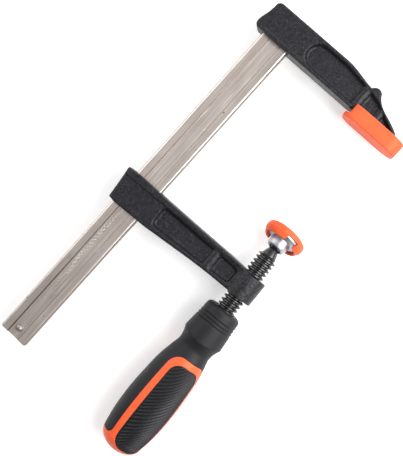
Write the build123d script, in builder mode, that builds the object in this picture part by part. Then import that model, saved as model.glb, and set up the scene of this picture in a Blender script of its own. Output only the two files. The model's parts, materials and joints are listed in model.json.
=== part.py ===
from build123d import *
import os
from math import cos, radians, sin

# F clamp, lying on its side. Millimetres.
# +X runs from the rail towards the jaw tips, +Y along the rail towards the fixed jaw,
# +Z through the thickness. The origin is the centre of the fixed pad's clamping face.

# ---- driving dimensions -------------------------------------------------------------
RAIL_X = -85.5           # rail centre line
RAIL_W = 21.0            # rail width, along X
RAIL_T = 8.0             # rail thickness, along Z
RAIL_BOTTOM = -253.3     # free end of the rail
RAIL_TOP = 24.0          # end of the rail inside the fixed jaw
GROOVE_W = 9.4           # rolled groove in each wide face
GROOVE_DEPTH = 1.2
STOP_Y = -246.4          # end-stop rivet
STOP_HEAD_R = 2.5
STOP_HEAD_H = 2.5
STOP_SHANK_R = 1.5

CAST_T = 15.0            # thickness of both cast jaws
JAW_LOW = 5.8            # inner (lower) edge of the fixed jaw
JAW_HIGH = 28.2          # outer (upper) edge of the fixed jaw
POCKET_DEPTH = 3.2
DRAFT = 25.0             # slope of the pockets' walls

PAD_L = 43.0             # fixed pad cap: length, width, corner radius
PAD_W = 25.0
PAD_CORNER_R = 9.0
PAD_BASE = 3.0           # thickness under the clamping face
PAD_H = 10.4             # height of the cheeks
PAD_WALL = 2.4
CHEEK_SETBACK = 3.1      # the base runs this far past the cheeks at the rail end

ROCK = 3.2               # the sliding arm stands cocked on the rail by this angle
SPINDLE_X = 6.8          # spindle axis at the bottom of the arm's boss
BOSS_Y = -133.6
ARM_SLOT_W = 23.2        # slot that the rail runs in, and its clearance through the thickness
ARM_SLOT_X = -91.55
ARM_SLOT_T = RAIL_T + 0.7
BOSS_R = 10.4
BOSS_LOW = 0.3
BOSS_HIGH = 17.6

THREAD_R = 7.0           # trapezoidal thread, 14 mm by 3 mm pitch
ROOT_R = 5.2
PITCH = 3.0
THREAD_LOW = -13.0       # both along the spindle, from the bottom of the boss
THREAD_HIGH = 34.2
NUT_CLEARANCE = 0.06     # radial running clearance in the boss
BALL_Y = 43.6            # centre of the ball, along the spindle
BALL_R = 4.6
BALL_CLEARANCE = 0.08
NECK_R = 3.0
TANG_W = 7.3             # square tang inside the handle

PAD_TILT = 17.0          # the swivel pad's face leans back by this angle
CUP_R = 6.9
CUP_MOUTH_ANGLE = 63.0   # half angle of the cup's mouth, seen from the ball's centre
CUP_TOP = 4.75           # all along the pad's own axis, from the ball's centre
DISH_BACK = 2.5          # where the dished plate meets the cup
PLATE_BACK = 4.1
PLATE_FRONT = 6.5
PLATE_R = 12.8
CAP_BACK = 1.5
CAP_FRONT = 9.2
CAP_R = 14.55
CAP_LIP_R = 11.2
NOTCH_ANGLES = (67, 247)
NOTCH_SPAN = 37.0
NOTCH_H = 4.2            # from just below the cap's back edge

HANDLE_TOP = -11.2       # along the spindle, from the bottom of the boss
HANDLE_L = 117.5
SHELL = 1.9              # thickness of the black mouldings over the core
WINDOW_TOP = 39.5        # distances down the handle from its top
INSET_TOP = 43.8
TONGUE_END = 108.4
INSET_END = 114.3
INSET_CENTRE = 31.0      # angle round the handle, from +Z towards +X
INSET_SPAN = 90.0
BAND_SPAN = 16.0

os.makedirs("parts", exist_ok=True)

# ---- frames and axes ----------------------------------------------------------------
JAW = Plane(origin=(RAIL_X, 0, 0), x_dir=(1, 0, 0), z_dir=(0, 0, 1))
ALONG_RAIL = Plane(origin=(RAIL_X, RAIL_BOTTOM, 0), x_dir=(1, 0, 0), z_dir=(0, 1, 0))

rock = radians(ROCK)
ARM = Plane(origin=(SPINDLE_X, BOSS_Y, 0), x_dir=(cos(rock), sin(rock), 0), z_dir=(0, 0, 1))
SPINDLE_AXIS = Axis(ARM.origin, ARM.y_dir)

tilt = radians(PAD_TILT)
PAD = Plane(origin=ARM.from_local_coords(Vector(0, BALL_Y, 0)), x_dir=(1, 0, 0),
            z_dir=(0, sin(tilt), cos(tilt)))
PAD_AXIS = Axis(PAD.origin, PAD.y_dir)


def across_spindle(height):
    """Plane square to the spindle, at this height along it; its +x is the arm's."""
    return Plane(origin=ARM.from_local_coords(Vector(0, height, 0)), x_dir=ARM.x_dir,
                 z_dir=ARM.y_dir)


def finish(piece, label):
    """Name the piece and write it out."""
    piece.part.label = label
    export_step(piece.part, f"parts/{label}.step")


# ---- rail and its end stop ----------------------------------------------------------
with BuildPart() as rail:
    with BuildSketch(ALONG_RAIL):
        Rectangle(RAIL_W, RAIL_T)
        with Locations((0, RAIL_T / 2), (0, -RAIL_T / 2)):
            Rectangle(GROOVE_W, 2 * GROOVE_DEPTH, mode=Mode.SUBTRACT)
    extrude(amount=RAIL_TOP - RAIL_BOTTOM)
    outer_edges = rail.edges().filter_by(Axis.Y).group_by(Axis.X)
    fillet(outer_edges[0] + outer_edges[-1], 1.3)
    chamfer(rail.faces().sort_by(Axis.Y)[0].edges(), 0.3)
    with BuildSketch(JAW):
        with Locations((0, STOP_Y)):
            Circle(STOP_SHANK_R)
    extrude(amount=RAIL_T, both=True, mode=Mode.SUBTRACT)
finish(rail, "rail")

groove_floor = RAIL_T / 2 - GROOVE_DEPTH
with BuildPart() as end_stop_rivet:
    with BuildSketch(JAW):
        with Locations((0, STOP_Y)):
            Circle(STOP_SHANK_R)
    extrude(amount=groove_floor, both=True)
    for side in (1, -1):
        with BuildSketch(JAW.offset(side * groove_floor)):
            with Locations((0, STOP_Y)):
                Circle(STOP_HEAD_R)
        extrude(amount=side * STOP_HEAD_H)
    tips = end_stop_rivet.edges().filter_by(GeomType.CIRCLE).group_by(Axis.Z)
    fillet(tips[0] + tips[-1], 1.6)
finish(end_stop_rivet, "end_stop_rivet")

# ---- fixed jaw and its pad cap ------------------------------------------------------
FOOT_L = PAD_L - 2 * PAD_WALL - CHEEK_SETBACK
FOOT_W = PAD_W - 2 * PAD_WALL - 0.2
FOOT_TOP = 8.4


def pad_level(height):
    """Plane parallel to the clamping face, this far behind it."""
    return Plane(origin=(0, height, 0), x_dir=(1, 0, 0), z_dir=(0, 1, 0))


def pad_outline(inset):
    """The pad's rounded outline, drawn in by this much all round."""
    RectangleRounded(PAD_L - 2 * inset, PAD_W - 2 * inset, PAD_CORNER_R - inset)


with BuildPart() as fixed_jaw:
    with BuildSketch(JAW):
        with BuildLine():
            Line((66, JAW_LOW), (-14.3, JAW_LOW))
            RadiusArc((-14.3, JAW_LOW), (-18, 9.6), 3.8)
            Spline((-18, 9.6), (-16.6, 16.5), (-15.6, 24.4), tangents=((0.05, 1), (0, 1)))
            RadiusArc((-15.6, 24.4), (-11.8, JAW_HIGH), 3.8)
            Line((-11.8, JAW_HIGH), (44, JAW_HIGH))
            Spline((44, JAW_HIGH), (57, 26.4), (67.2, 24.6), tangents=((1, 0), (1, -0.1)))
            ThreePointArc((67.2, 24.6), (71.2, 27.3), (75.2, 24.6))
            Spline((75.2, 24.6), (79.5, 20.5), (87, 17.1), (99.2, 11.2), (101.8, 8.6))
            Line((101.8, 8.6), (101.8, PAD_BASE + 0.6))
            Line((101.8, PAD_BASE + 0.6), (69.5, PAD_BASE + 0.6))
            Line((69.5, PAD_BASE + 0.6), (66, JAW_LOW))
        make_face()
    extrude(amount=CAST_T / 2, both=True)
    rim = fixed_jaw.faces().filter_by(Axis.Z).edges()
    chamfer(rim, 0.9)
    # strengthening flange along the inner edge
    with BuildSketch(JAW):
        with Locations((26, JAW_LOW + 1.2)):
            Rectangle(78, 2.4)
    extrude(amount=CAST_T / 2 + 0.5, both=True)
    # long pocket in each side, with two half-round ribs standing in it
    pocket_floor = CAST_T / 2 - POCKET_DEPTH
    for side in (1, -1):
        with BuildSketch(JAW.offset(side * pocket_floor)):
            with BuildLine():
                Line((27.5, 24.2), (46, 24.2))
                Line((46, 24.2), (66, 21.4))
                Line((66, 21.4), (76, 19.2))
                Line((76, 19.2), (94, 10.4))
                Line((94, 10.4), (91, 9.6))
                Line((91, 9.6), (27.5, 9.6))
                ThreePointArc((27.5, 9.6), (20.9, 16.9), (27.5, 24.2))
            make_face()
        extrude(amount=side * (POCKET_DEPTH + 0.1), taper=-DRAFT, mode=Mode.SUBTRACT)
    for rib_x, rib_r, rib_top in ((65.8, 3.6, 22.5), (81.8, 3.1, 17.0)):
        with BuildSketch(Plane(origin=(RAIL_X + rib_x, JAW_LOW + 1, 0), x_dir=(1, 0, 0),
                               z_dir=(0, 1, 0))):
            with Locations((0, pocket_floor - 0.6), (0, 0.6 - pocket_floor)):
                Circle(rib_r)
        extrude(amount=rib_top - JAW_LOW - 1)
    # foot that the pad cap grips
    with BuildSketch(pad_level(PAD_BASE)):
        with Locations((CHEEK_SETBACK / 2, 0)):
            RectangleRounded(FOOT_L, FOOT_W, PAD_CORNER_R - PAD_WALL)
    extrude(amount=FOOT_TOP - PAD_BASE)
    # socket that holds the rail
    with BuildSketch(ALONG_RAIL.offset(JAW_LOW - 1 - RAIL_BOTTOM)):
        Rectangle(RAIL_W, RAIL_T)
    extrude(amount=RAIL_TOP + 0.1 - JAW_LOW + 1, mode=Mode.SUBTRACT)
finish(fixed_jaw, "fixed_jaw")

with BuildPart() as fixed_pad_cap:
    with BuildSketch(pad_level(0)):
        pad_outline(0)
    extrude(amount=PAD_H)
    # the cheeks stop short of the rail end, and the foot's space is hollow
    with BuildSketch(pad_level(PAD_BASE)):
        with Locations((-PAD_L / 2, 0)):
            Rectangle(2 * CHEEK_SETBACK, PAD_W + 1)
    extrude(amount=PAD_H, mode=Mode.SUBTRACT)
    with BuildSketch(pad_level(PAD_BASE)):
        pad_outline(PAD_WALL)
        with Locations((-PAD_L / 2, 0)):
            Rectangle(PAD_L, PAD_W - 2 * PAD_WALL)
    extrude(amount=FOOT_TOP + 0.1 - PAD_BASE, mode=Mode.SUBTRACT)
    with BuildSketch(pad_level(FOOT_TOP)):
        pad_outline(PAD_WALL + 1.5)
        with Locations((-PAD_L / 2, 0)):
            Rectangle(PAD_L, PAD_W - 2 * PAD_WALL - 3)
    extrude(amount=PAD_H, mode=Mode.SUBTRACT)
    chamfer(fixed_pad_cap.faces().sort_by(Axis.Y)[0].edges(), 0.6)
finish(fixed_pad_cap, "fixed_pad_cap")

# ---- sliding arm --------------------------------------------------------------------
with BuildPart() as sliding_arm:
    with BuildSketch(ARM):
        with BuildLine():
            Polyline((-107.8, 22.4), (-106.4, -1.2), (-101.5, -2.1), (-76, -2.3), (-37, 0),
                     (-24, BOSS_LOW), (0, BOSS_LOW), (0, 18.2), (-20, 19.4), (-46, 20.3),
                     (-72, 21.3), (-98, 22.7), (-107.8, 22.4))
        make_face()
    extrude(amount=CAST_T / 2, both=True)
    chamfer(sliding_arm.faces().filter_by(Axis.Z).edges(), 0.8)
    # raised flange along the inner edge
    with BuildSketch(ARM):
        Polygon((-107.4, 17.3), (-6, 16.6), (-6, 18.2), (-20, 19.0), (-46, 19.9), (-72, 20.9),
                (-98, 22.3), (-107.6, 22.0), align=None)
    extrude(amount=CAST_T / 2 + 0.8, both=True)
    # pocket in each side, with one half-round rib standing in it
    for side in (1, -1):
        with BuildSketch(ARM.offset(side * pocket_floor)):
            Polygon((-71.6, 15.2), (-10.6, 13.7), (-10.6, 4.5), (-71.6, 3.0), align=None)
            fillet(vertices(), 2.0)
        extrude(amount=side * (POCKET_DEPTH + 1), taper=-DRAFT, mode=Mode.SUBTRACT)
    with BuildSketch(across_spindle(2.0)):
        with Locations((-27.4, pocket_floor - 0.9), (-27.4, 0.9 - pocket_floor)):
            Circle(4.1)
    extrude(amount=14.6)
    # boss for the spindle
    with BuildSketch(across_spindle(BOSS_LOW)):
        Circle(BOSS_R)
    extrude(amount=BOSS_HIGH - BOSS_LOW)
    with BuildSketch(across_spindle(-1)):
        Circle(THREAD_R + NUT_CLEARANCE)
    extrude(amount=BOSS_HIGH + 3, mode=Mode.SUBTRACT)
    # slot for the rail
    with BuildSketch(across_spindle(-5)):
        with Locations((ARM_SLOT_X, 0)):
            Rectangle(ARM_SLOT_W, ARM_SLOT_T)
    extrude(amount=32, mode=Mode.SUBTRACT)
finish(sliding_arm, "sliding_arm")

# ---- spindle and its ball -----------------------------------------------------------
ball_flat = BALL_Y - (BALL_R**2 - NECK_R**2) ** 0.5
tang_top = HANDLE_TOP - 25
tang_end = HANDLE_TOP - 70

# the thread's ridge: a trapezoid swept along a helix
helix_start = ARM.from_local_coords(Vector(0, THREAD_LOW, 0))
with BuildLine() as helix:
    Helix(pitch=PITCH, height=THREAD_HIGH - THREAD_LOW - PITCH / 2, radius=ROOT_R,
          center=helix_start, direction=ARM.y_dir)
ridge_start = helix.line @ 0
ridge_out = (ridge_start - helix_start).normalized()

with BuildPart() as ridge:
    with BuildSketch(Plane(origin=ridge_start, x_dir=ridge_out,
                           z_dir=ridge_out.cross(ARM.y_dir))):
        Polygon((-0.4, -1.2), (-0.4, 1.2), (THREAD_R - ROOT_R, 0.5), (THREAD_R - ROOT_R, -0.5),
                align=None)
    sweep(path=helix.line, is_frenet=True)

with BuildPart() as spindle:
    with BuildSketch(ARM):
        Polygon((0, tang_top), (ROOT_R, tang_top), (ROOT_R, THREAD_HIGH), (NECK_R + 0.3, 39.6),
                (NECK_R, ball_flat - 0.02), (0, ball_flat - 0.02), align=None)
    revolve(axis=SPINDLE_AXIS)
    with BuildSketch(across_spindle(tang_end)):
        Rectangle(TANG_W, TANG_W)
    extrude(amount=tang_top - tang_end)
    add(ridge.part)
finish(spindle, "spindle")

with BuildPart() as spindle_ball:
    with BuildSketch(ARM):
        with BuildLine():
            Line((0, ball_flat), (NECK_R, ball_flat))
            ThreePointArc((NECK_R, ball_flat), (BALL_R, BALL_Y), (0, BALL_Y + BALL_R))
            Line((0, BALL_Y + BALL_R), (0, ball_flat))
        make_face()
    revolve(axis=SPINDLE_AXIS)
finish(spindle_ball, "spindle_ball")

# ---- swivel pad ---------------------------------------------------------------------
mouth = radians(CUP_MOUTH_ANGLE)
socket_r = BALL_R + BALL_CLEARANCE

with BuildPart() as swivel_cup:
    with BuildSketch(PAD):
        with BuildLine():
            Line((socket_r * sin(mouth), -socket_r * cos(mouth)),
                 (CUP_R * sin(mouth), -CUP_R * cos(mouth)))
            RadiusArc((CUP_R * sin(mouth), -CUP_R * cos(mouth)), (CUP_R, 0), -CUP_R)
            Line((CUP_R, 0), (CUP_R, CUP_TOP))
            Line((CUP_R, CUP_TOP), (socket_r, CUP_TOP))
            Line((socket_r, CUP_TOP), (socket_r, 0))
            RadiusArc((socket_r, 0), (socket_r * sin(mouth), -socket_r * cos(mouth)), socket_r)
        make_face()
    revolve(axis=PAD_AXIS)
finish(swivel_cup, "swivel_cup")

with BuildPart() as swivel_plate:
    with BuildSketch(PAD):
        Polygon((0, CUP_TOP), (CUP_R + 0.02, CUP_TOP), (CUP_R + 0.02, DISH_BACK),
                (CAP_LIP_R, PLATE_BACK - 0.4), (PLATE_R, PLATE_BACK + 0.4),
                (PLATE_R, PLATE_FRONT), (0, PLATE_FRONT), align=None)
    revolve(axis=PAD_AXIS)
finish(swivel_plate, "swivel_plate")

with BuildPart() as swivel_cap:
    with BuildSketch(PAD):
        Polygon((0, PLATE_FRONT), (PLATE_R + 0.05, PLATE_FRONT), (PLATE_R + 0.05, PLATE_BACK - 0.1),
                (CAP_LIP_R, PLATE_BACK - 0.5), (CAP_LIP_R, CAP_BACK), (12.3, CAP_BACK),
                (CAP_R, 5.0), (CAP_R, CAP_FRONT - 1.2), (CAP_R - 1.2, CAP_FRONT),
                (0, CAP_FRONT), align=None)
    revolve(axis=PAD_AXIS)
    # notches in the back lip show the plate
    for angle in NOTCH_ANGLES:
        start = radians(angle - NOTCH_SPAN / 2)
        notch_plane = Plane(origin=PAD.origin, x_dir=PAD.x_dir * cos(start) + PAD.z_dir * sin(start),
                            z_dir=PAD.z_dir * cos(start) - PAD.x_dir * sin(start))
        with BuildSketch(notch_plane):
            with Locations(((CAP_LIP_R + CAP_R) / 2, CAP_BACK - 0.2 + NOTCH_H / 2)):
                Rectangle(CAP_R - CAP_LIP_R + 3, NOTCH_H)
        revolve(axis=Axis(PAD.origin, -PAD.y_dir), revolution_arc=NOTCH_SPAN, mode=Mode.SUBTRACT)
finish(swivel_cap, "swivel_cap")

# ---- handle -------------------------------------------------------------------------
# Distances down the handle are turned into heights along the spindle by down().


def down(distance):
    return HANDLE_TOP - distance


def handle_profile(drawn_in):
    """Half outline of the handle, from its top to its butt, drawn in by this much."""
    butt = down(HANDLE_L - drawn_in)
    Line((0, down(drawn_in)), (9.5 - drawn_in, down(drawn_in)))
    RadiusArc((9.5 - drawn_in, down(drawn_in)), (12.7 - drawn_in, down(3.2)), 3.2)
    Line((12.7 - drawn_in, down(3.2)), (14.5 - drawn_in, down(23.2)))
    Spline([(radius - drawn_in, down(distance)) for radius, distance in
            ((14.5, 23.2), (12.7, 28), (12.2, 32.9), (13.7, 39.5), (16.0, 52.6), (17.4, 76),
             (16.8, 94), (15.0, 107))])
    scale = 1 - drawn_in / 15.0
    Spline([(15.0 * scale * across, down(107) + (butt - down(107)) * along) for across, along in
            ((1, 0), (0.92, 0.34), (0.70, 0.69), (0.36, 0.92), (0, 1))])
    Line((0, butt), (0, down(drawn_in)))


def round_handle(angle):
    """Plane through the spindle at this angle from +Z towards +X; its +x is outwards."""
    turn = radians(angle)
    outward = ARM.z_dir * cos(turn) + ARM.x_dir * sin(turn)
    return Plane(origin=ARM.origin, x_dir=outward, z_dir=outward.cross(ARM.y_dir))


with BuildPart() as handle_body:
    with BuildSketch(ARM):
        with BuildLine():
            handle_profile(0)
        make_face()
    revolve(axis=SPINDLE_AXIS)
    # three grooves round the collar
    with BuildSketch(ARM):
        with Locations((13.15, down(7.2)), (13.4, down(9.7)), (13.65, down(12.1))):
            Circle(0.5)
    revolve(axis=SPINDLE_AXIS, mode=Mode.SUBTRACT)
    # recess that the thread runs into, then round and square holes for the shank
    with BuildSketch(across_spindle(down(4))):
        Circle(THREAD_R + 0.4)
    extrude(amount=10, mode=Mode.SUBTRACT)
    with BuildSketch(across_spindle(tang_top)):
        Circle(ROOT_R + 0.02)
    extrude(amount=30, mode=Mode.SUBTRACT)
    with BuildSketch(across_spindle(tang_end)):
        Rectangle(TANG_W, TANG_W)
    extrude(amount=tang_top - tang_end + 1, mode=Mode.SUBTRACT)

with BuildPart() as handle_inner:
    with BuildSketch(ARM):
        with BuildLine():
            handle_profile(SHELL)
        make_face()
    revolve(axis=SPINDLE_AXIS)


def runs_outwards(edge):
    return edge.geom_type == GeomType.LINE and abs(edge.tangent_at(0.5).dot(ARM.y_dir)) < 0.5


def patch(centre, span, top, end, inner_r, corner_r):
    """Rounded patch of space round the handle, centred at this angle."""
    with BuildPart() as block:
        with BuildSketch(round_handle(centre - span / 2)):
            Polygon((inner_r, down(end)), (22, down(end)), (22, down(top)), (inner_r, down(top)),
                    align=None)
        revolve(axis=SPINDLE_AXIS, revolution_arc=span)
        fillet(block.edges().filter_by(runs_outwards), corner_r)
    return block.part


half_turns = (INSET_CENTRE, INSET_CENTRE + 180)
windows = [patch(angle, INSET_SPAN + 2 * BAND_SPAN, WINDOW_TOP, HANDLE_L + 10, 10.5, 8.0)
           for angle in half_turns]
inset_spaces = [patch(angle, INSET_SPAN, INSET_TOP, INSET_END, 9.6, 6.5)
                for angle in half_turns]

with BuildPart() as handle_sleeve:
    add(handle_body.part)
    for window in windows:
        add(window, mode=Mode.SUBTRACT)
    add(handle_inner.part, mode=Mode.SUBTRACT)
    # the tongues between the windows end short of the butt
    with BuildSketch(across_spindle(down(TONGUE_END + 20))):
        Circle(30)
    extrude(amount=20, mode=Mode.SUBTRACT)
finish(handle_sleeve, "handle_sleeve")

inset_bodies = []
for label, space in zip(("grip_inset_front", "grip_inset_back"), inset_spaces):
    with BuildPart() as grip_inset:
        add(space)
        add(handle_inner.part, mode=Mode.SUBTRACT)
        add(handle_body.part, mode=Mode.INTERSECT)
    inset_bodies.append(grip_inset.part)
    finish(grip_inset, label)

with BuildPart() as handle_core:
    add(handle_body.part)
    add(handle_sleeve.part, mode=Mode.SUBTRACT)
    for inset_body in inset_bodies:
        add(inset_body, mode=Mode.SUBTRACT)
finish(handle_core, "handle_core")
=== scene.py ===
import json
import math

import bmesh
import bpy
import numpy as np
from mathutils import Matrix, Vector, geometry, noise


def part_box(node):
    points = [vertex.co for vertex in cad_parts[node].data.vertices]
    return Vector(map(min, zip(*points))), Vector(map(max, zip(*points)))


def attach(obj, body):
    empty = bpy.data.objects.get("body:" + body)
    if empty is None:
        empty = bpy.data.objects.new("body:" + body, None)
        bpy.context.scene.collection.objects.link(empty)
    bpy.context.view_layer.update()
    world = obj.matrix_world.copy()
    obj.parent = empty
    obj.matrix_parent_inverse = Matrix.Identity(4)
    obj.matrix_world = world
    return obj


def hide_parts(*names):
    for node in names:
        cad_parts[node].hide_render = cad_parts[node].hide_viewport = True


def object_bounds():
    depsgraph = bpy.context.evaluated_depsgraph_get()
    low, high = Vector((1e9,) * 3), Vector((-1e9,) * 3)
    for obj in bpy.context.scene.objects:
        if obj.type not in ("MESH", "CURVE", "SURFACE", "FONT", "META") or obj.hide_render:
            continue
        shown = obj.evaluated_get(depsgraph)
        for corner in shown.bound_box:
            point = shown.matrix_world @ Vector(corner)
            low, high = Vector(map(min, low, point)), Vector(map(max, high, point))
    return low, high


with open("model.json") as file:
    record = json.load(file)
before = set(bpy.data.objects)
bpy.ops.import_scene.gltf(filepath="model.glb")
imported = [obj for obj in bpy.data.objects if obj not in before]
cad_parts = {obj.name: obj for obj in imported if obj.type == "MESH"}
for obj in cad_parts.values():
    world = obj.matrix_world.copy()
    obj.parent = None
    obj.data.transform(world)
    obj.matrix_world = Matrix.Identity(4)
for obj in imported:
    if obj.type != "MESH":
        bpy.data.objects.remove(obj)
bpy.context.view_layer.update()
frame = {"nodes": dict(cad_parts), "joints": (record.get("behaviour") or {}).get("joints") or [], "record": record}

MM = 0.001
joints = {joint["name"]: joint for joint in frame["joints"]}
mounts = {mount["name"]: mount for mount in frame["record"]["mounts"]}


# ---- axes that the round pieces turn about ---------------------------------------------
class Spine:
    """An axis with a front, which is where angles round it start; they grow towards +X."""

    def __init__(self, origin, axis, front):
        self.origin = Vector(origin)
        self.axis = Vector(axis).normalized()
        self.front = (Vector(front) - self.axis * Vector(front).dot(self.axis)).normalized()
        self.side = self.axis.cross(self.front)

    def at(self, radius, height, angle):
        """The point at this radius and height in mm, and this angle in radians."""
        outward = self.front * math.cos(angle) + self.side * math.sin(angle)
        return self.origin + (outward * radius + self.axis * height) * MM


spindle_line = Spine(joints["spindle_turn"]["pos_m"], joints["spindle_turn"]["axis"], (0, 0, 1))
pad_line = Spine(joints["pad_tilt"]["pos_m"], mounts["swivel_pad_face"]["axis"], (0, 0, 1))


# ---- mesh helpers ----------------------------------------------------------------------
def new_piece(name, points, faces, sharp_deg=40.0):
    """A smooth-shaded object with these points and faces, welded, its edges sharp over an angle."""
    mesh = bpy.data.meshes.new(name)
    mesh.from_pydata([tuple(p) for p in points], [], faces)
    return dress_mesh(name, mesh, sharp_deg)


def dress_mesh(name, mesh, sharp_deg):
    """An object made of this mesh, once its points are welded and its faces look outwards."""
    work = bmesh.new()
    work.from_mesh(mesh)
    bmesh.ops.remove_doubles(work, verts=work.verts, dist=1e-7)
    bmesh.ops.recalc_face_normals(work, faces=work.faces)
    work.to_mesh(mesh)
    work.free()
    mesh.shade_smooth()
    mesh.set_sharp_from_angle(angle=math.radians(sharp_deg))
    piece = bpy.data.objects.new(name, mesh)
    bpy.context.scene.collection.objects.link(piece)
    return piece


def grid_faces(rows, columns, closed):
    """Quads of a grid, whose columns join up if it is closed."""
    faces = []
    for i in range(rows - 1):
        for j in range(columns if closed else columns - 1):
            k = (j + 1) % columns
            faces.append((i * columns + j, i * columns + k, (i + 1) * columns + k,
                          (i + 1) * columns + j))
    return faces


def lathe(name, spine, profile, segments=128, sharp_deg=40.0):
    """Turns (radius, height) points in mm about a spine. A radius of 0 closes an end."""
    points = []
    for radius, height in profile:
        for j in range(segments):
            points.append(spine.at(max(radius, 1e-6), height, 2 * math.pi * j / segments))
    return new_piece(name, points, grid_faces(len(profile), segments, True), sharp_deg)


def catmull(points, steps):
    """A smooth line through these points, with this many steps between each two."""
    p = np.array([points[0]] + list(points) + [points[-1]], float)
    t = np.linspace(0, 1, steps, endpoint=False)[:, None]
    spans = [0.5 * (2 * b + (c - a) * t + (2 * a - 5 * b + 4 * c - d) * t**2
                    + (3 * b - a - 3 * c + d) * t**3)
             for a, b, c, d in zip(p, p[1:], p[2:], p[3:])]
    return np.vstack(spans + [p[-1:]])


def arc(centre, radius, start_deg, end_deg, steps):
    """Points along an arc."""
    turn = np.radians(np.linspace(start_deg, end_deg, steps))
    return np.column_stack([centre[0] + radius * np.cos(turn), centre[1] + radius * np.sin(turn)])


def softened(node, name, voxel, passes, wave=0.0, wave_length=2.5):
    """A copy of a CAD node with rounded edges and, if asked, a cast surface's uneven skin."""
    mesh = frame["nodes"][node].data.copy()
    work = bmesh.new()
    work.from_mesh(mesh)
    bmesh.ops.remove_doubles(work, verts=work.verts, dist=1e-6)
    work.to_mesh(mesh)
    work.free()
    rough = bpy.data.objects.new(name + "_rough", mesh)
    bpy.context.scene.collection.objects.link(rough)
    remesh = rough.modifiers.new("remesh", "REMESH")
    remesh.mode = "VOXEL"
    remesh.voxel_size = voxel * MM
    smooth = rough.modifiers.new("smooth", "SMOOTH")
    smooth.factor = 0.5
    smooth.iterations = passes
    bpy.context.view_layer.update()
    shaped = rough.evaluated_get(bpy.context.evaluated_depsgraph_get())
    result = bpy.data.meshes.new_from_object(shaped)
    bpy.data.objects.remove(rough)
    if wave:
        spots = np.array([v.co for v in result.vertices])
        normals = np.array([n.vector for n in result.vertex_normals])
        here = [Vector(spot) for spot in spots / (wave_length * MM)]
        lift = np.array([noise.noise(h) + 0.5 * noise.noise(h * 2.3) for h in here])
        spots += normals * ((lift - 0.6) * wave * MM)[:, None]
        result.vertices.foreach_set("co", spots.ravel())
    result.materials.clear()
    return dress_mesh(name, result, 60.0)


# ---- node helpers ----------------------------------------------------------------------
class Paint:
    """A Principled material with short ways to add texture to it."""

    def __init__(self, name, color, roughness, metallic=0.0, **constants):
        self.material = bpy.data.materials.new(name)
        self.material.use_nodes = True
        self.tree = self.material.node_tree
        self.shader = self.tree.nodes["Principled BSDF"]
        self.shader.inputs["Base Color"].default_value = (*color, 1)
        self.shader.inputs["Roughness"].default_value = roughness
        self.shader.inputs["Metallic"].default_value = metallic
        for socket, value in constants.items():
            self.shader.inputs[socket.replace("_", " ")].default_value = value
        where = self.tree.nodes.new("ShaderNodeTexCoord")
        self.coordinates, self.facing = where.outputs["Object"], where.outputs["Normal"]
        self.normal = None

    def link(self, output, target):
        self.tree.links.new(output, target)

    def stretched(self, scale, turn=0.0):
        """Coordinates stretched along an axis, for grain that runs one way."""
        mapping = self.tree.nodes.new("ShaderNodeMapping")
        mapping.inputs["Rotation"].default_value = (0, 0, turn)
        mapping.inputs["Scale"].default_value = scale
        self.link(self.coordinates, mapping.inputs["Vector"])
        return mapping.outputs["Vector"]

    def noise(self, per_metre, detail=2.0, distortion=0.0, vector=None):
        node = self.tree.nodes.new("ShaderNodeTexNoise")
        node.inputs["Scale"].default_value = per_metre
        node.inputs["Detail"].default_value = detail
        node.inputs["Distortion"].default_value = distortion
        self.link(vector or self.coordinates, node.inputs["Vector"])
        return node.outputs["Fac"]

    def range(self, value, low, high, to_low=0.0, to_high=1.0):
        node = self.tree.nodes.new("ShaderNodeMapRange")
        for socket, number in zip(("From Min", "From Max", "To Min", "To Max"),
                                  (low, high, to_low, to_high)):
            node.inputs[socket].default_value = number
        self.link(value, node.inputs["Value"])
        return node.outputs["Result"]

    def blend(self, factor, first, second):
        """A colour between two; each is a colour or another node's output."""
        node = self.tree.nodes.new("ShaderNodeMix")
        node.data_type = "RGBA"
        self.link(factor, node.inputs["Factor"])
        for socket, color in (("A", first), ("B", second)):
            target = [i for i in node.inputs if i.name == socket and i.type == "RGBA"][0]
            if isinstance(color, tuple):
                target.default_value = (*color, 1)
            else:
                self.link(color, target)
        return [o for o in node.outputs if o.type == "RGBA"][0]

    def math(self, operation, first, second):
        node = self.tree.nodes.new("ShaderNodeMath")
        node.operation = operation
        for socket, value in zip(node.inputs, (first, second)):
            if isinstance(value, (int, float)):
                socket.default_value = value
            else:
                self.link(value, socket)
        return node.outputs["Value"]

    def edges(self, low, high):
        """1 on sharp convex edges, 0 on flats."""
        return self.range(self.tree.nodes.new("ShaderNodeNewGeometry").outputs["Pointiness"],
                          low, high)

    def bump(self, height, depth_mm, strength=1.0):
        node = self.tree.nodes.new("ShaderNodeBump")
        node.inputs["Distance"].default_value = depth_mm * MM
        node.inputs["Strength"].default_value = strength
        self.link(height, node.inputs["Height"])
        if self.normal:
            self.link(self.normal, node.inputs["Normal"])
        self.normal = node.outputs["Normal"]
        self.link(self.normal, self.shader.inputs["Normal"])

    def color(self, output):
        self.link(output, self.shader.inputs["Base Color"])

    def roughness(self, output):
        self.link(output, self.shader.inputs["Roughness"])


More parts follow.
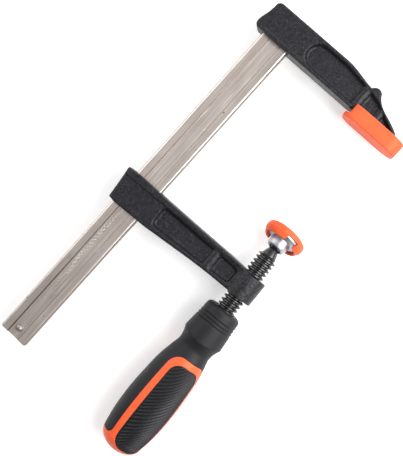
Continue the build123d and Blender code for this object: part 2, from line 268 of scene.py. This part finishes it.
def cast_paint():
    """Black texture paint on iron: pebbled, with fine painted glints for its sparkle, and rubbed edges."""
    paint = Paint("cast_paint", (0.010, 0.010, 0.012), 0.45, Specular_IOR_Level=0.29)
    pebbles = paint.noise(620, 3.0, 0.4)
    grain = paint.noise(1500, 3.0, 0.3)
    blotches = paint.noise(420, 4.0)
    base = paint.blend(paint.range(blotches, 0.3, 0.7), (0.005, 0.005, 0.0068),
                       (0.016, 0.016, 0.0200))
    # painted glints: sparse pale specks in the colour stand in for light sparkling off the paint
    with_painted_glints = paint.blend(paint.range(grain, 0.58, 0.74), base, (0.085, 0.085, 0.096))
    rubbed = paint.math("MULTIPLY", paint.edges(0.53, 0.62), paint.range(pebbles, 0.45, 0.7))
    worn = paint.blend(rubbed, with_painted_glints, (0.085, 0.085, 0.09))
    paint.color(worn)
    paint.roughness(paint.range(grain, 0.4, 0.7, 0.46, 0.26))
    paint.bump(pebbles, 0.34, 0.8)
    paint.bump(grain, 0.16, 0.8)
    return paint.material


def rail_steel():
    """Drawn steel: lines along the rail, clouds, dark pits, and painted shade on the narrow sides."""
    paint = Paint("rail_steel", (0.6, 0.55, 0.51), 0.36, 1.0)
    lines = paint.noise(1.0, 3.0, 0.0, paint.stretched((1900, 14, 1900)))
    marks = paint.noise(1.0, 4.0, 1.2, paint.stretched((420, 60, 420)))
    clouds = paint.noise(38, 3.0)
    pits = paint.noise(330, 1.0)
    base = paint.blend(paint.range(clouds, 0.3, 0.7), (0.77, 0.69, 0.635), (0.61, 0.53, 0.48))
    drawn = paint.blend(paint.range(lines, 0.3, 0.75, 0.0, 0.5), base, (0.77, 0.70, 0.655))
    rolled = paint.blend(paint.range(marks, 0.6, 0.72, 0.0, 0.35), drawn, (0.44, 0.39, 0.36))
    # painted shade: faces whose normal points along ±X, the narrow sides, are darkened
    facing = paint.tree.nodes.new("ShaderNodeSeparateXYZ")
    paint.link(paint.facing, facing.inputs["Vector"])
    painted_side_shade = paint.range(paint.math("ABSOLUTE", facing.outputs["X"], 0.0), 0.45, 0.8)
    with_side_shade = paint.blend(painted_side_shade, rolled, (0.22, 0.17, 0.15))
    paint.color(paint.blend(paint.range(pits, 0.76, 0.8), with_side_shade, (0.16, 0.14, 0.13)))
    paint.roughness(paint.range(lines, 0.3, 0.7, 0.31, 0.45))
    paint.bump(lines, 0.02, 0.5)
    paint.bump(marks, 0.06, 0.6)
    return paint.material


def orange_plastic(name, color, roughness):
    """Moulded orange plastic with faint flow marks and scuffs."""
    paint = Paint(name, color, roughness, Specular_IOR_Level=0.3)
    flow = paint.noise(85, 3.0, 0.6)
    scuffs = paint.noise(1.0, 3.0, 0.8, paint.stretched((900, 140, 500), 0.6))
    grain = paint.noise(2600, 2.0)
    deeper = tuple(c * k for c, k in zip(color, (0.93, 0.82, 0.75)))
    paler = (min(1.0, color[0] * 1.03), color[1] * 1.45, color[2] * 2.1)
    base = paint.blend(paint.range(flow, 0.3, 0.7), color, deeper)
    paint.color(paint.blend(paint.range(scuffs, 0.66, 0.8, 0.0, 0.35), base, paler))
    paint.roughness(paint.range(grain, 0.3, 0.7, roughness - 0.06, roughness + 0.08))
    paint.bump(grain, 0.02, 0.35)
    paint.bump(flow, 0.12, 0.2)
    return paint.material


def black_oxide():
    """Oiled black oxide on a rolled thread."""
    paint = Paint("spindle_black", (0.016, 0.016, 0.018), 0.24, 0.0, Specular_IOR_Level=0.75)
    film = paint.noise(240, 3.0, 0.5)
    grain = paint.noise(1900, 2.0)
    base = paint.blend(paint.range(film, 0.35, 0.7), (0.006, 0.006, 0.0075),
                       (0.013, 0.0125, 0.0135))
    paint.color(paint.blend(paint.edges(0.6, 0.75), base, (0.05, 0.05, 0.05)))
    paint.roughness(paint.range(film, 0.3, 0.7, 0.20, 0.28))
    paint.bump(grain, 0.008, 0.3)
    return paint.material


def cloudy_metal(name, color, darker):
    """Plated or bare metal with a cloudy film."""
    paint = Paint(name, color, 0.4, 1.0)
    film = paint.noise(260, 3.0, 0.8)
    grain = paint.noise(2100, 2.0)
    paint.color(paint.blend(paint.range(film, 0.3, 0.7), color, darker))
    paint.roughness(paint.range(film, 0.3, 0.7, 0.42, 0.54))
    paint.bump(grain, 0.02, 0.3)
    return paint.material


def grip_black(name, color, roughness):
    """Soft black plastic, satin, with a fine spark-eroded grain."""
    paint = Paint(name, color, roughness, Specular_IOR_Level=0.28)
    grain = paint.noise(3200, 2.0)
    handling = paint.noise(60, 3.0)
    lighter = tuple(c * 1.5 for c in color)
    paint.color(paint.blend(paint.range(handling, 0.35, 0.75), color, lighter))
    paint.roughness(paint.range(handling, 0.3, 0.7, roughness - 0.07, roughness + 0.06))
    paint.bump(grain, 0.03, 0.4)
    return paint.material


slots = {
    "rail_steel": rail_steel(),
    "cast_paint": cast_paint(),
    "cap_orange": orange_plastic("cap_orange", (0.87, 0.118, 0.034), 0.54),
    "spindle_black": black_oxide(),
    "pad_zinc": cloudy_metal("pad_zinc", (0.52, 0.54, 0.57), (0.40, 0.42, 0.45)),
    "core_orange": orange_plastic("core_orange", (0.90, 0.125, 0.036), 0.42),
    "grip_black": grip_black("grip_black", (0.0085, 0.0085, 0.0105), 0.54),
}
rivet_steel = cloudy_metal("rivet_steel", (0.40, 0.36, 0.34), (0.28, 0.25, 0.235))
inset_black = grip_black("inset_black", (0.0075, 0.0075, 0.009), 0.42)


def dress(piece, body, slot, *nodes, material=None):
    """Gives a new piece its material and its body, and hides the CAD nodes that it stands for."""
    piece.data.materials.append(material or slots[slot])
    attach(piece, body)
    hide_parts(*nodes)


def repaint(node, slot):
    """Gives a CAD node that stays a better material."""
    mesh = frame["nodes"][node].data
    mesh.materials.clear()
    mesh.materials.append(slots[slot])


# ---- rail ------------------------------------------------------------------------------
GROOVE_W, GROOVE_DEPTH = 9.4, 1.2
EDGE_R, GROOVE_EASE = 1.3, 0.7                          # rounding of the rail's and groove's edges
END_CHAMFER = 0.35
CREASE_START, CREASE_LENGTH, CREASE_FADE = 25, 100, 30  # from the rail's free end
CREASE_DEPTH = 0.22


def half_section(width, thick, groove, depth, corner, ease):
    """One wide face of the rail's section, from its left edge to its right, in mm."""
    line = list(arc((-width / 2 + corner, thick / 2 - corner), corner, 180, 90, 6))
    half, level = groove / 2, thick / 2 - depth
    left = [(-half - ease, thick / 2), (-half - ease * 0.4, thick / 2 - 0.04),
            (-half, thick / 2 - depth * 0.55), (-half + ease * 0.5, level + 0.05),
            (-half + ease, level)]
    floor = [(x, level) for x in np.linspace(-half + ease, half - ease, 26)[1:-1]]
    right = [(-x, z) for x, z in reversed(left)]
    line += [(-x, thick / 2) for x in np.linspace(width / 2 - corner, half + ease, 5)[1:-1]]
    line += left + floor + right
    line += [(x, thick / 2) for x in np.linspace(half + ease, width / 2 - corner, 5)[1:-1]]
    line += list(arc((width / 2 - corner, thick / 2 - corner), corner, 90, 0, 6))
    return line


def build_rail():
    """The rail, with a rolled crease that comes and goes along the groove's floor."""
    low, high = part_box("rail")
    middle_x = (low.x + high.x) / 2 / MM
    width, thick = (high.x - low.x) / MM, (high.z - low.z) / MM
    top = half_section(width, thick, GROOVE_W, GROOVE_DEPTH, EDGE_R, GROOVE_EASE)
    section = top + [(-x, -z) for x, z in top]
    stations = np.concatenate([[low.y / MM, low.y / MM + END_CHAMFER],
                               np.arange(low.y / MM + 1.2, high.y / MM, 0.5), [high.y / MM]])
    points = []
    for i, y in enumerate(stations):
        creased = y - low.y / MM - CREASE_START
        creased = max(0.0, min(1.0, creased / CREASE_FADE, (CREASE_LENGTH - creased) / CREASE_FADE))
        shrink = 1 - END_CHAMFER / (thick / 2) if i == 0 else 1.0
        narrow = 1 - END_CHAMFER / (width / 2) if i == 0 else 1.0
        for x, z in section:
            side = 1 if z > 0 else -1
            if abs(x) < GROOVE_W / 2 - GROOVE_EASE:
                roll = noise.noise(Vector((x * 0.9, y * 0.06, side * 3.0)))
                drift = noise.noise(Vector((y * 0.09, 7.0 * side, 0.0)))
                seam = -2.0 + 0.6 * drift + 0.45 * math.sin(y * 2.2 + 3 * drift)
                crease = math.exp(-(((x - seam) / 0.5) ** 2)) * creased
                wave = 0.08 * roll - CREASE_DEPTH * crease + 0.10 * (x / 4) ** 2
            else:
                wave = 0.015 * noise.noise(Vector((x, y * 0.08, side * 5.0)))
            points.append(Vector((middle_x + x * narrow, y, (z + side * wave) * shrink)) * MM)
    faces = grid_faces(len(stations), len(section), True)
    count = len(section)
    faces.append(tuple(range(count)))
    faces.append(tuple(range(len(points) - 1, len(points) - 1 - count, -1)))
    rail = new_piece("rail_bar", points, faces, 32.0)
    dress(rail, "rail", "rail_steel", "rail")


def build_rivet():
    """The end stop, domed on both sides."""
    low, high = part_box("end_stop_rivet")
    middle = (low + high) / 2
    reach, head_r = (high.z - low.z) / 2 / MM, (high.x - low.x) / 2 / MM
    pin = Spine(middle, (0, 0, 1), (0, 1, 0))
    dome = [(0.0, reach)] + [(head_r * math.sin(a), reach - 1.9 * (1 - math.cos(a)))
                             for a in np.radians(np.linspace(9, 90, 12))]
    upper = dome + [(head_r * 0.98, reach - 2.3), (1.5, reach - 2.45)]
    profile = upper + [(radius, -height) for radius, height in reversed(upper)]
    dress(lathe("end_rivet", pin, profile, 64, 40.0), "rail", "rail_steel", "end_stop_rivet",
          material=rivet_steel)


# ---- castings and pads -----------------------------------------------------------------
def build_castings():
    """Both jaws, with a cast skin, and the pad on the fixed one."""
    jaw = softened("fixed_jaw", "jaw_casting", 0.42, 5, 0.07)
    dress(jaw, "rail", "cast_paint", "fixed_jaw")
    arm = softened("sliding_arm", "arm_casting", 0.42, 5, 0.07)
    dress(arm, "arm", "cast_paint", "sliding_arm")
    pad = softened("fixed_pad_cap", "jaw_pad", 0.30, 7)
    dress(pad, "rail", "cap_orange", "fixed_pad_cap")


# ---- spindle, ball and cup -------------------------------------------------------------
THREAD_R, ROOT_R, PITCH = 7.0, 5.2, 3.0
THREAD_LOW, THREAD_HIGH = -13.0, 34.2   # along the spindle
ROOT_START, FLANK_W = 1.25, 0.80        # from the middle of a crest, and the slope up to it
THREAD_FADE = 1.6
NOTCH_TURN, NOTCH_SPAN = 23.0, 37.0     # first notch in the pad's cap, degrees


def build_spindle():
    """The grid of the thread climbs with it, so that its crests come out clean."""
    columns, per_turn = 96, 24
    rings = [(ROOT_R, THREAD_LOW - 25), (ROOT_R, THREAD_LOW - 1)]
    points = [spindle_line.at(r, h, 2 * math.pi * j / columns) for r, h in rings
              for j in range(columns)]
    first = len(rings)
    turns = int((THREAD_HIGH - THREAD_LOW) / PITCH) + 2
    for i in range(turns * per_turn + 1):
        from_crest = abs((i / per_turn) % 1.0 - 0.5) * PITCH
        rise = min(1.0, max(0.0, (ROOT_START - from_crest) / FLANK_W))
        rise = rise * rise * (3 - 2 * rise) * 0.5 + rise * 0.5
        for j in range(columns):
            height = THREAD_LOW + PITCH * (i / per_turn - 1 + j / columns)
            height = min(THREAD_HIGH, max(THREAD_LOW, height))
            fade = min(1.0, (THREAD_HIGH - height) / THREAD_FADE,
                       (height - THREAD_LOW) / THREAD_FADE)
            radius = ROOT_R + (THREAD_R - ROOT_R) * rise * fade
            points.append(spindle_line.at(radius, height, 2 * math.pi * j / columns))
    last = len(points) // columns - 1
    neck = [(5.15, THREAD_HIGH + 0.2), (4.95, THREAD_HIGH + 0.7), (3.45, 39.2), (3.15, 39.7),
            (3.0, 40.1)]
    points += [spindle_line.at(r, h, 2 * math.pi * j / columns) for r, h in neck
               for j in range(columns)]
    faces = []
    for i in range(last + len(neck)):
        for j in range(columns):
            k = (j + 1) % columns
            low, high = i, i + 1
            if k == 0 and first <= i < last:
                low, high = min(i + per_turn, last), min(i + 1 + per_turn, last)
            face = (i * columns + j, low * columns + k, high * columns + k, (i + 1) * columns + j)
            faces.append(face if low < high else (face[0], face[1], face[3]))
    rows = last + len(neck) + 1
    faces.append(tuple(range(columns)))
    faces.append(tuple(range(rows * columns - 1, (rows - 1) * columns - 1, -1)))
    dress(new_piece("threaded_spindle", points, faces, 50.0), "screw", "spindle_black", "spindle")


def build_cup():
    """The cup closed round the ball, and the dished plate behind it."""
    socket, outer = 4.68, 6.9
    mouth = -27.0
    lip_mid, lip_r = (socket + outer) / 2, (outer - socket) / 2
    lip = (lip_mid * math.cos(math.radians(mouth)), lip_mid * math.sin(math.radians(mouth)))
    profile = list(arc((0, 0), outer, -2, mouth + 3, 12))
    profile += list(arc(lip, lip_r * 0.96, mouth + 20, mouth - 180, 12))
    profile += list(arc((0, 0), socket, mouth + 3, 0, 10))
    profile += [(socket, 4.6), (outer + 0.55, 4.6), (outer + 0.55, 4.1), (outer + 0.2, 3.85),
                (outer, 3.5), (outer, 1.5)]
    profile.append(profile[0])
    dress(lathe("ball_cup", pad_line, profile, 112, 35.0), "swivel_pad", "pad_zinc", "swivel_cup")
    dish = list(catmull([(7.15, 2.75), (8.6, 2.95), (10.2, 3.35), (11.4, 3.75)], 6))
    plate = [(0, 4.76), (7.1, 4.76), (7.1, 2.9)] + dish
    plate += [(12.5, 4.1), (12.75, 4.3), (12.8, 4.6), (12.8, 6.4), (12.7, 6.5), (0, 6.5)]
    dress(lathe("pressure_plate", pad_line, plate, 112, 35.0), "swivel_pad", "pad_zinc",
          "swivel_plate")


def build_pad_cap():
    """The cap over the plate, with two notches in its lip."""
    plate_r, notch_top = 12.9, 5.6
    profile = [(0, 6.55), (plate_r, 6.55), (plate_r, 5.2), (plate_r, 4.2), (12.6, 3.95),
               (11.6, 3.75), (11.25, 3.4), (11.2, 2.4), (11.25, 1.8), (11.5, 1.55), (11.9, 1.5),
               (12.3, 1.6), (12.65, 2.0), (13.6, 3.45), (14.3, 4.6), (14.5, 5.1), (14.55, 5.6),
               (14.55, 7.6), (14.45, 8.3), (14.15, 8.8), (13.7, 9.1), (13.1, 9.2), (0, 9.2)]
    steps = 240
    points = []
    for radius, height in profile:
        for j in range(steps):
            turn = 360 * j / steps
            away = abs((turn - NOTCH_TURN + 90) % 180 - 90)
            cut = min(1.0, max(0.0, (NOTCH_SPAN / 2 + 0.75 - away) / 1.5))
            cut_r = min(14.5, max(plate_r, radius)) if height < notch_top else radius
            cut_h = max(height, notch_top) if radius > 1 else height
            points.append(pad_line.at(max(1e-6, radius + (cut_r - radius) * cut),
                                      height + (cut_h - height) * cut, math.radians(turn)))
    cap = new_piece("pad_cap", points, grid_faces(len(profile), steps, True), 42.0)
    dress(cap, "swivel_pad", "cap_orange", "swivel_cap")


# ---- handle ----------------------------------------------------------------------------
HANDLE_TOP = -11.2           # along the spindle
HANDLE_L = 117.5
WINDOW_TOP, INSET_TOP = 39.5, 43.8
TONGUE_END, INSET_END = 108.4, 112.6
INSET_CENTRE, INSET_SPAN, BAND_SPAN = 31.0, 90.0, 16.0
RIM, RIM_DIP = 23.2, 2.5     # lower edge of the collar, and its dip in front and behind
RIM_BLEND = (14.0, 34.0)     # the dip fades out at these distances
SHOULDER_R = 3.2
COLLAR_GROOVES = (7.2, 9.7, 12.1)
BUTT_TOP, BUTT_R = 107.0, 15.0
AROUND = 15.0                # mm of patch width per radian round the handle
WINDOW_R, TONGUE_R = 8.6, 4.8
INSET_TOP_R, INSET_END_R = 7.6, 9.5
RIB_PITCH, RIB_TOP, RIB_DEPTH = 2.8, 0.08, 0.60


def handle_line():
    """The handle's outline from inside its mouth to its butt: radius, then distance down."""
    mouth = [(7.4, 4.0), (7.4, 0.6)]
    top = list(arc((7.8, 0.4), 0.4, 180, 270, 5)) + [(8.6, 0.0)]
    shoulder = list(arc((9.5, SHOULDER_R), SHOULDER_R, 270, 360, 14))
    collar = [(12.7 + 1.8 * (d - SHOULDER_R) / 20, d) for d in np.arange(3.5, RIM - 0.5, 0.12)]
    rim = [(14.47, RIM - 0.35), (14.5, RIM - 0.1), (14.42, RIM + 0.2)]
    waist = catmull([(14.3, RIM + 0.5), (12.7, 28), (12.2, 32.9), (13.7, 39.5), (16.0, 52.6),
                     (17.4, 76), (16.8, 94), (BUTT_R, BUTT_TOP)], 26)
    fall = np.radians(np.linspace(4, 90, 34))
    butt = np.column_stack([BUTT_R * np.cos(fall),
                            BUTT_TOP + (HANDLE_L - BUTT_TOP) * np.sin(fall)])
    line = np.vstack([mouth, top, shoulder, collar, rim, waist, butt])
    line[:, 0] = np.maximum(line[:, 0], 0.0)
    for groove in COLLAR_GROOVES:
        skin = line[:, 0] > 11
        line[skin, 0] -= 0.5 * np.exp(-(((line[skin, 1] - groove) / 0.42) ** 2))
    return line


outline_points = handle_line()
steps_along = np.hypot(*np.diff(outline_points, axis=0).T)
along = np.concatenate([[0], np.cumsum(steps_along)])
slope = np.gradient(outline_points, along, axis=0)
slope /= np.linalg.norm(slope, axis=1)[:, None]
below_shoulder = outline_points[:, 1] >= SHOULDER_R


def along_at(distance):
    """Length of outline down to this distance from the handle's top."""
    first = int(np.argmax(below_shoulder & (along > 8)))
    return float(np.interp(distance, outline_points[first:, 1], along[first:]))


def handle_point(u, v, depth):
    """The point at patch width u and outline length v, this deep under the skin."""
    radius, distance = (float(np.interp(v, along, outline_points[:, k])) for k in (0, 1))
    run_r, run_d = (float(np.interp(v, along, slope[:, k])) for k in (0, 1))
    angle = u / AROUND
    start, end = RIM_BLEND
    if start < distance < end:
        rim = RIM + RIM_DIP * math.cos(angle) ** 2
        if distance < RIM:
            distance = start + (distance - start) * (rim - start) / (RIM - start)
        else:
            distance = end - (end - distance) * (end - rim) / (end - RIM)
    return spindle_line.at(radius - run_d * depth, HANDLE_TOP - distance - run_r * depth, angle)


def rounded_path(corners, closed, spacing=0.45):
    """A path through (u, v, radius) corners, each rounded by its radius, evenly divided."""
    spots = [Vector(c[:2]) for c in corners]
    path = []
    for i, (spot, corner) in enumerate(zip(spots, corners)):
        before = spots[i - 1] if i or closed else None
        after = spots[(i + 1) % len(spots)] if i + 1 < len(spots) or closed else None
        radius = corner[2]
        if before is None or after is None or radius <= 0:
            path.append(spot)
            continue
        a, b = (before - spot).normalized(), (after - spot).normalized()
        half = a.angle(b) / 2
        reach = radius / math.tan(half)
        centre = spot + (a + b).normalized() * radius / math.sin(half)
        start, end = spot + a * reach - centre, spot + b * reach - centre
        sweep = start.angle_signed(end)
        count = max(3, int(abs(sweep) * radius / spacing))
        for k in range(count + 1):
            path.append(centre + Matrix.Rotation(-sweep * k / count, 2) @ start)
    if closed:
        path.append(path[0])
    line = [path[0]]
    for a, b in zip(path, path[1:]):
        pieces = max(1, int(round((b - a).length / spacing)))
        line += [a.lerp(b, (k + 1) / pieces) for k in range(pieces)]
    return line[:-1] if closed else line


def inside(points, loop):
    """Which points lie in a closed loop."""
    x, y = points[:, 0], points[:, 1]
    result = np.zeros(len(points), bool)
    for a, b in zip(loop, list(loop[1:]) + [loop[0]]):
        if a[1] == b[1]:
            continue
        crosses = (a[1] > y) != (b[1] > y)
        result ^= crosses & (x < (b[0] - a[0]) * (y - a[1]) / (b[1] - a[1]) + a[0])
    return result


def wrapped_shell(name, path_at, border, columns, rows, depth_at, thickness, round_edge, seam=()):
    """A closed shell over a patch of the handle. path_at(inset) is its rounded edge, and border
    is what closes that path into a loop. Points at the seam's two widths are welded."""
    border_loop = list(path_at(0.0)) + list(border)
    inner_loop = list(path_at(round_edge + 0.25)) + list(border)
    flat = [Vector(p) for p in border_loop]
    edge_ids = [tuple(range(len(flat)))]
    for share in (0.18, 0.45, 1.0):
        flat += path_at(round_edge * share)
    grid = np.array([(u, v) for v in rows for u in columns])
    flat += [Vector(p) for p in grid[inside(grid, inner_loop)]]
    verts, _, triangles, *_ = geometry.delaunay_2d_cdt(flat, [], edge_ids, 1, 1e-6)
    path = np.array([tuple(p) for p in path_at(0.0)])
    outer, inner = [], []
    for u, v in verts:
        gap = float(np.min(np.hypot(path[:, 0] - u, path[:, 1] - v)))
        short = max(0.0, round_edge - gap)
        fall = round_edge - math.sqrt(max(0.0, round_edge**2 - short**2))
        outer.append(handle_point(u, v, fall + depth_at(u, v, gap)))
        inner.append(handle_point(u, v, thickness))
    count = len(outer)
    faces = [tuple(reversed(t)) for t in triangles]
    edges = {}
    for triangle in triangles:
        for a, b in zip(triangle, triangle[1:] + triangle[:1]):
            edges[(a, b)] = edges.get((a, b), 0) + 1
    walls = [(a, b) for a, b in edges if (b, a) not in edges]
    on_seam = [any(abs(v[0] - s) < 1e-4 for s in seam) for v in verts]
    faces += [tuple(i + count for i in t) for t in triangles]
    faces += [(a, b, b + count, a + count) for a, b in walls if not (on_seam[a] and on_seam[b])]
    return new_piece(name, outer + inner, faces, 42.0)


def build_sleeve():
    """The black moulding: collar, neck and the tongues between the windows."""
    turn = 2 * math.pi * AROUND
    middle = math.radians(INSET_CENTRE - 90) * AROUND
    left, right = middle - turn / 2, middle + turn / 2
    half = math.radians(90 - INSET_SPAN / 2 - BAND_SPAN) * AROUND
    head, foot = along_at(WINDOW_TOP), along_at(TONGUE_END)

    def edge(inset):
        corners = [(left, foot - inset, 0)]
        for centre in (left, middle, right):
            if centre > left:
                corners += [(centre - half + inset, head - inset, WINDOW_R + inset),
                            (centre - half + inset, foot - inset, TONGUE_R - inset)]
            if centre < right:
                corners += [(centre + half - inset, foot - inset, TONGUE_R - inset),
                            (centre + half - inset, head - inset, WINDOW_R + inset)]
        corners.append((right, foot - inset, 0))
        return rounded_path(corners, False)

    collar_end = along_at(RIM_BLEND[0])
    rows = np.concatenate([np.arange(0.3, collar_end, 0.22), np.arange(collar_end, foot, 0.6)])
    climb = [v for v in np.arange(foot - 1.0, 0, -0.6)]
    columns = np.linspace(left, right, 121)
    top = [(u, 0.0) for u in columns[::-1]]
    border = [(right, v) for v in climb] + top + [(left, v) for v in climb[::-1]]
    sleeve = wrapped_shell("grip_sleeve", edge, border, columns[1:-1], rows,
                           lambda u, v, gap: 0.0, 0.9, 0.5, (left, right))
    dress(sleeve, "screw", "grip_black", "handle_sleeve")


def build_inset(name, node, centre_deg):
    """A grip inset, whose ribs climb across it in a gentle curve."""
    centre = math.radians(centre_deg) * AROUND
    half = math.radians(INSET_SPAN / 2) * AROUND
    head, foot = along_at(INSET_TOP), along_at(INSET_END)

    def edge(inset):
        left, right = centre - half + inset, centre + half - inset
        top, end = INSET_TOP_R - inset, INSET_END_R - inset
        return rounded_path([(left, head + inset, top), (right, head + inset, top),
                             (right, foot - inset, end), (left, foot - inset, end)], True)

    def ribs(u, v, gap):
        across = u - centre + half
        down = v - head
        climb = (0.76 + 0.25 * math.exp(-down / 18)) * across + 0.011 * across**2
        climb += 0.5 * math.sin(down / 5.5 + across / 4)
        wave = 0.5 + 0.5 * math.cos(2 * math.pi * (down + climb) / RIB_PITCH)
        strength = min(1.0, max(0.0, (gap - 0.5) / 1.3))
        return RIB_TOP + RIB_DEPTH * (1 - wave**0.7) * strength

    columns = np.arange(centre - half + 0.3, centre + half, 0.33)
    rows = np.arange(head + 0.3, foot, 0.27)
    inset = wrapped_shell(name, edge, [], columns, rows, ribs, 1.4, 0.45)
    dress(inset, "screw", "grip_black", node, material=inset_black)


def build_core():
    """The orange core, just under the black mouldings and hollowed under the insets."""
    columns = 240
    start, window = along_at(3.4), along_at(WINDOW_TOP) - 1.2
    head, foot = along_at(INSET_TOP), along_at(INSET_END)
    half = math.radians(INSET_SPAN / 2) * AROUND
    points = []
    spans = np.arange(start, along[-1] - 0.05, 0.4)
    for v in spans:
        for j in range(columns):
            turn = 360 * j / columns
            away = abs((turn - INSET_CENTRE + 90) % 180 - 90)
            side = half - math.radians(away) * AROUND
            corner = INSET_TOP_R if v < (head + foot) / 2 else INSET_END_R
            end = min(v - head, foot - v)
            gap = min(side, end)
            if side < corner and end < corner:
                gap = corner - math.hypot(corner - side, corner - end)
            sunk = min(1.0, max(0.0, (gap + 0.15) / 0.7, (window - v) / 0.8))
            points.append(handle_point(math.radians(turn) * AROUND, v, 0.2 + 0.75 * sunk))
    faces = grid_faces(len(spans), columns, True)
    faces.append(tuple(range(columns)))
    faces.append(tuple(range(len(points) - 1, len(points) - 1 - columns, -1)))
    core = new_piece("handle_core_body", points, faces, 50.0)
    dress(core, "screw", "core_orange", "handle_core")


build_rail()
build_rivet()
build_castings()
build_spindle()
build_cup()
build_pad_cap()
build_sleeve()
build_core()
build_inset("grip_ribs_front", "grip_inset_front", INSET_CENTRE)
build_inset("grip_ribs_back", "grip_inset_back", INSET_CENTRE + 180)
repaint("spindle_ball", "spindle_black")


# ---- floor, lights and camera ----------------------------------------------------------
EYE = Vector((0.010053, -0.090154, 0.559528))
TARGET = Vector((-0.040180, -0.115664, 0.0))
ROLL = math.radians(-42.079)
LENS = 1.8756798             # focal length over the frame's longer side
FLOOR_GAP = 0.0005
FLOOR_REACH = 3.0
LAMPS = (("key", (0.50, 0.25, 0.56), 0.65, 9.5),    # name, offset, size, watts
         ("fill", (-0.66, 0.10, 0.42), 0.80, 4.0),
         ("back", (0.05, 0.80, 0.30), 0.60, 3.0))


def build_stage():
    """A white floor that glows a little, a white surround and three soft lamps."""
    low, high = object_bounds()
    ground = low.z - FLOOR_GAP
    mesh = bpy.data.meshes.new("floor")
    corners = [(x * FLOOR_REACH, y * FLOOR_REACH, ground)
               for x, y in ((-1, -1), (1, -1), (1, 1), (-1, 1))]
    mesh.from_pydata(corners, [], [(0, 1, 2, 3)])
    floor = bpy.data.objects.new("floor", mesh)
    bpy.context.scene.collection.objects.link(floor)
    paint = Paint("floor_white", (0.80, 0.80, 0.80), 0.9, Specular_IOR_Level=0.1)
    glow = paint.range(paint.noise(3, 2.0), 0.0, 1.0, 0.38, 0.40)
    paint.shader.inputs["Emission Color"].default_value = (1, 1, 1, 1)
    paint.link(glow, paint.shader.inputs["Emission Strength"])
    floor.data.materials.append(paint.material)
    world = bpy.data.worlds.new("studio")
    world.use_nodes = True
    world.node_tree.nodes["Background"].inputs["Color"].default_value = (1, 1, 1, 1)
    world.node_tree.nodes["Background"].inputs["Strength"].default_value = 0.32
    bpy.context.scene.world = world
    middle = (low + high) / 2
    for name, offset, size, watts in LAMPS:
        lamp = bpy.data.lights.new(name, "AREA")
        lamp.size = size
        lamp.energy = watts
        light = bpy.data.objects.new(name, lamp)
        light.location = middle + Vector(offset)
        light.rotation_mode = "QUATERNION"
        light.rotation_quaternion = (-Vector(offset)).to_track_quat("-Z", "Y")
        bpy.context.scene.collection.objects.link(light)


def build_camera():
    """A camera above the clamp, rolled so that the rail runs up to the right."""
    forward = (TARGET - EYE).normalized()
    upright = (Vector((0, 1, 0)) - forward * forward.y).normalized()
    up = Matrix.Rotation(ROLL, 3, forward) @ upright
    right = forward.cross(up)
    data = bpy.data.cameras.new("camera")
    data.lens = LENS * data.sensor_width
    data.clip_start = 0.01
    camera = bpy.data.objects.new("camera", data)
    camera.matrix_world = Matrix((
        (right.x, up.x, -forward.x, EYE.x), (right.y, up.y, -forward.y, EYE.y),
        (right.z, up.z, -forward.z, EYE.z), (0, 0, 0, 1)))
    bpy.context.scene.collection.objects.link(camera)
    bpy.context.scene.camera = camera


build_stage()
build_camera()
bpy.context.scene.view_settings.view_transform = "Standard"
